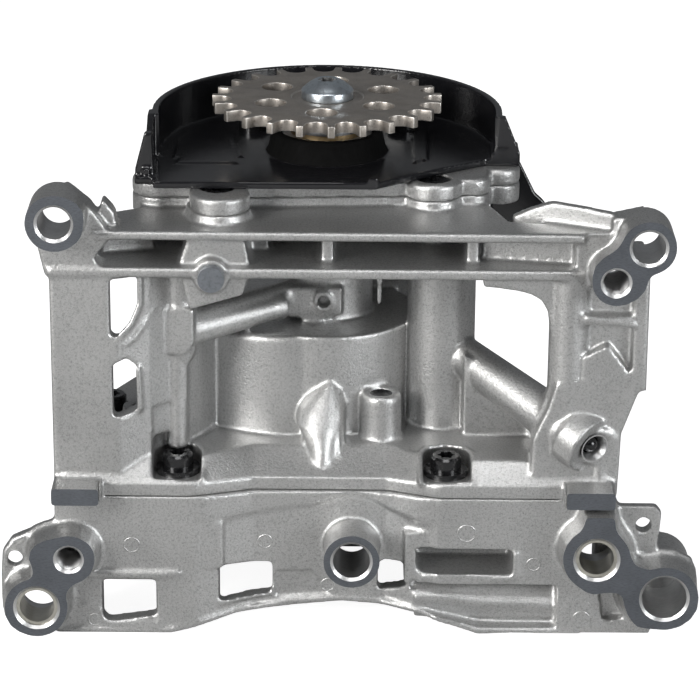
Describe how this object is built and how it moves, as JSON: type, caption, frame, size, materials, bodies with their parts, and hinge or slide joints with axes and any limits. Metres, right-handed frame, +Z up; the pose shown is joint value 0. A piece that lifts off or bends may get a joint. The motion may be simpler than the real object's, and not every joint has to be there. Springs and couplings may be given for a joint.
{
  "type": "engine oil pump",
  "caption": "Chain-driven engine oil pump: ribbed die-cast housing with bolt bosses, lower casting, cover, black chain guard and sprocket.",
  "frame": {"origin": "middle of the base of the whole part's box", "axes": "+X to the right along the mounting faces, +Y away from them into the pump, +Z up along the drive shaft"},
  "size_m": [0.1898, 0.102, 0.1454],
  "materials": {
    "cast_aluminium": "satin die-cast skin with a fine grain",
    "plug_aluminium": "milled",
    "black_plastic": "moulded, semi-gloss",
    "sintered_steel": "sintered, matte",
    "zinc_steel": "bright zinc plated",
    "ground_steel": "ground",
    "rotor_steel": "sintered and ground",
    "bearing_bronze": "plain",
    "spring_steel": "drawn wire",
    "dark_steel": "black oxide, oiled",
    "brass_plated": "rolled"
  },
  "bodies": {
    "casing": {"pump_housing": "cast_aluminium", "lower_casting": "cast_aluminium", "front_cover": "cast_aluminium", "chain_guard": "black_plastic", "housing_bush": "bearing_bronze", "cover_bush": "bearing_bronze", "thrust_washer": "bearing_bronze", "relief_spring": "spring_steel", "spring_seat": "ground_steel", "gallery_plug": "plug_aluminium", "ball_plug": "dark_steel", "channel_plug": "dark_steel", "casting_bolts": "dark_steel", "cover_screws": "dark_steel", "guard_screws": "dark_steel", "casting_dowels": "ground_steel", "cover_dowels": "ground_steel", "locating_sleeves": "brass_plated"},
    "drive": {"drive_shaft": "ground_steel", "sprocket": "sintered_steel", "sprocket_bolt": "zinc_steel", "inner_rotor": "rotor_steel", "rotor_key": "ground_steel"},
    "outer_ring": {"outer_rotor": "rotor_steel"},
    "relief": {"relief_piston": "ground_steel"}
  },
  "joints": [
    {"name": "drive_spin", "type": "hinge", "parent": "casing", "child": "drive", "pos_m": [-0.007, 0.003, 0], "axis": [0, 0, 1], "continuous": true},
    {"name": "outer_spin", "type": "hinge", "parent": "casing", "child": "outer_ring", "pos_m": [-0.0089, 0.003, 0], "axis": [0, 0, 1], "continuous": true},
    {"name": "relief_slide", "type": "slide", "parent": "casing", "child": "relief", "axis": [0, 0, -1], "range_m": [0, 0.008], "stiffness_N_per_m": 1500, "springref_m": -0.01, "deforming": ["relief_spring"]}
  ],
  "couplings": [
    {"joint": "outer_spin", "follows": "drive_spin", "ratio": 0.85714}
  ]
}
